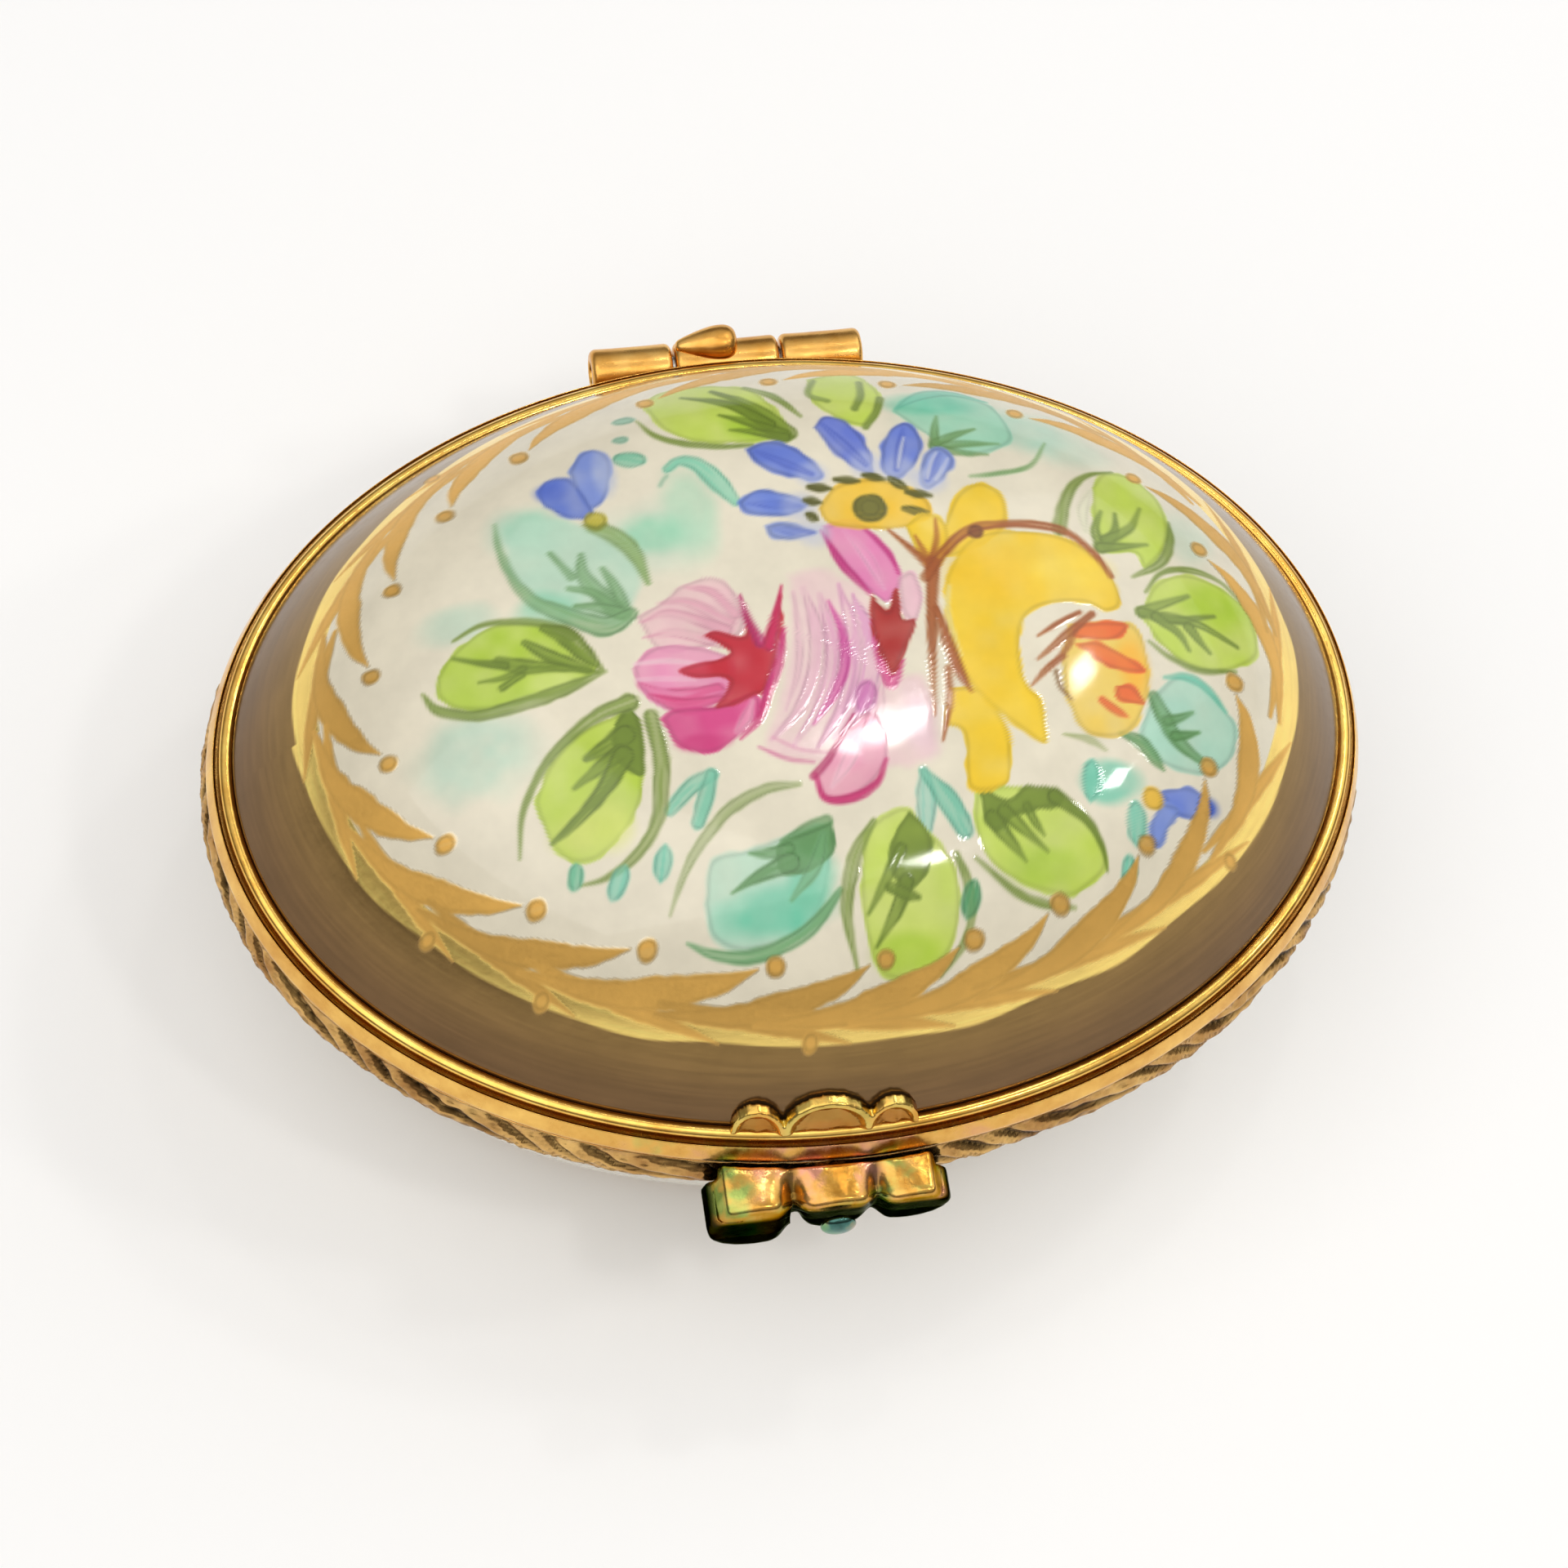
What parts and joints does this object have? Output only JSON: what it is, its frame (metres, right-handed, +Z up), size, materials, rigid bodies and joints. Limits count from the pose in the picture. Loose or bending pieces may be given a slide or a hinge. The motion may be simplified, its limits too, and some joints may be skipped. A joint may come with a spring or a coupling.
{
  "type": "hinged pill box",
  "caption": "Oval hand-painted porcelain pill box with a domed lid hinged at the back, gilt brass bezels and a bow-shaped clasp.",
  "frame": {"origin": "middle of the flat foot of the base porcelain, on the table", "axes": "+Z up, -Y towards the clasp, +Y towards the hinge, X along the oval's long axis"},
  "size_m": [0.0574, 0.0475, 0.0284],
  "materials": {
    "glazed_porcelain": "clear gloss glaze over white porcelain, burnished gold lines",
    "painted_porcelain": "glazed porcelain with hand-painted flowers and leaves, matt and burnished gilding",
    "satin_brass": "satin gilt brass with fine file marks",
    "bright_brass": "polished gilt brass",
    "chased_brass": "chased leaf pattern, darkened in the recesses",
    "hinge_brass": "drawn brass tube, lightly worn",
    "cast_brass": "cast gilt brass with slight rainbow tarnish",
    "pin_steel": "plain drawn wire"
  },
  "bodies": {
    "base": {"base_porcelain": "glazed_porcelain", "base_bezel": "chased_brass", "locating_lip": "satin_brass", "catch_nub": "cast_brass", "hinge_knuckle_left": "hinge_brass", "hinge_knuckle_right": "hinge_brass", "hinge_pin": "pin_steel"},
    "lid": {"lid_porcelain": "painted_porcelain", "lid_bezel": "satin_brass", "lid_wire": "bright_brass", "hinge_knuckle_middle": "hinge_brass", "hinge_teardrop": "hinge_brass", "clasp_crest": "cast_brass", "clasp_bow": "cast_brass", "clasp_bead": "bright_brass"}
  },
  "joints": [
    {"name": "lid_hinge", "type": "hinge", "parent": "base", "child": "lid", "pos_m": [0, 0.02166, 0.01525], "axis": [-1, 0, 0], "range_deg": [0, 92]}
  ]
}
